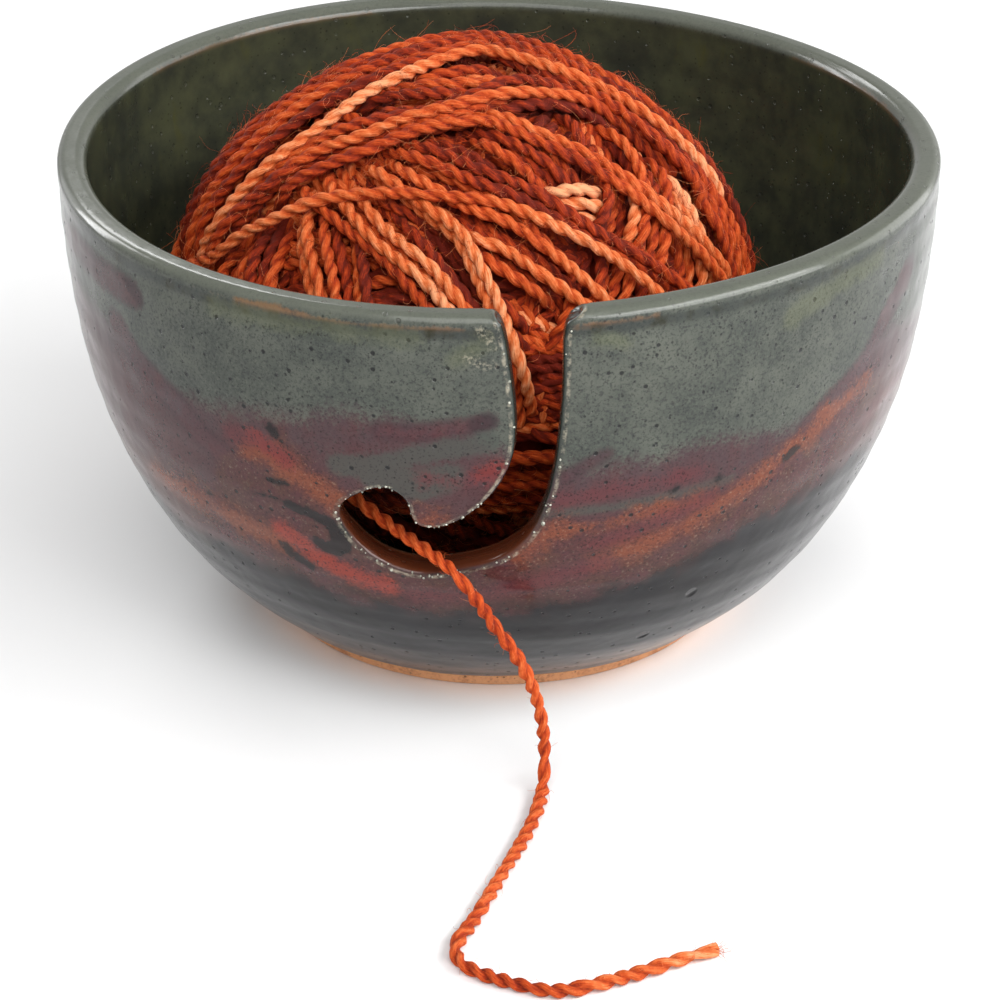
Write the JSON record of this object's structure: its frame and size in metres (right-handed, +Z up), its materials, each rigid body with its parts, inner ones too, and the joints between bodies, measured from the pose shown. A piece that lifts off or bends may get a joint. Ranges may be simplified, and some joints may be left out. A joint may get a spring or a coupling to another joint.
{
  "type": "yarn bowl",
  "caption": "Thrown stoneware bowl with a hooked yarn slot; a wound ball of yarn turns and lifts out, its working end led through the slot to the table.",
  "frame": {"origin": "centre of the foot's underside, on the table", "axes": "+Z up; the slot faces -Y; +X to the right as seen from the slot's side"},
  "size_m": [0.15, 0.2067, 0.1003],
  "materials": {
    "glazed_stoneware": "glossy, mottled",
    "yarn": "two-ply wool, hand-dyed"
  },
  "bodies": {
    "bowl": {"bowl": "glazed_stoneware", "yarn_tail": "yarn"},
    "ball_lift": {"yarn_ball_core": "yarn"},
    "ball": {"yarn_ball_wraps": "yarn"}
  },
  "joints": [
    {"name": "ball_lift_out", "type": "slide", "parent": "bowl", "child": "ball_lift", "axis": [0, 0, 1], "range_m": [0, 0.1]},
    {"name": "ball_turn", "type": "hinge", "parent": "ball_lift", "child": "ball", "pos_m": [-0.005, 0.002, 0.0543], "axis": [0, 0, 1], "continuous": true}
  ]
}
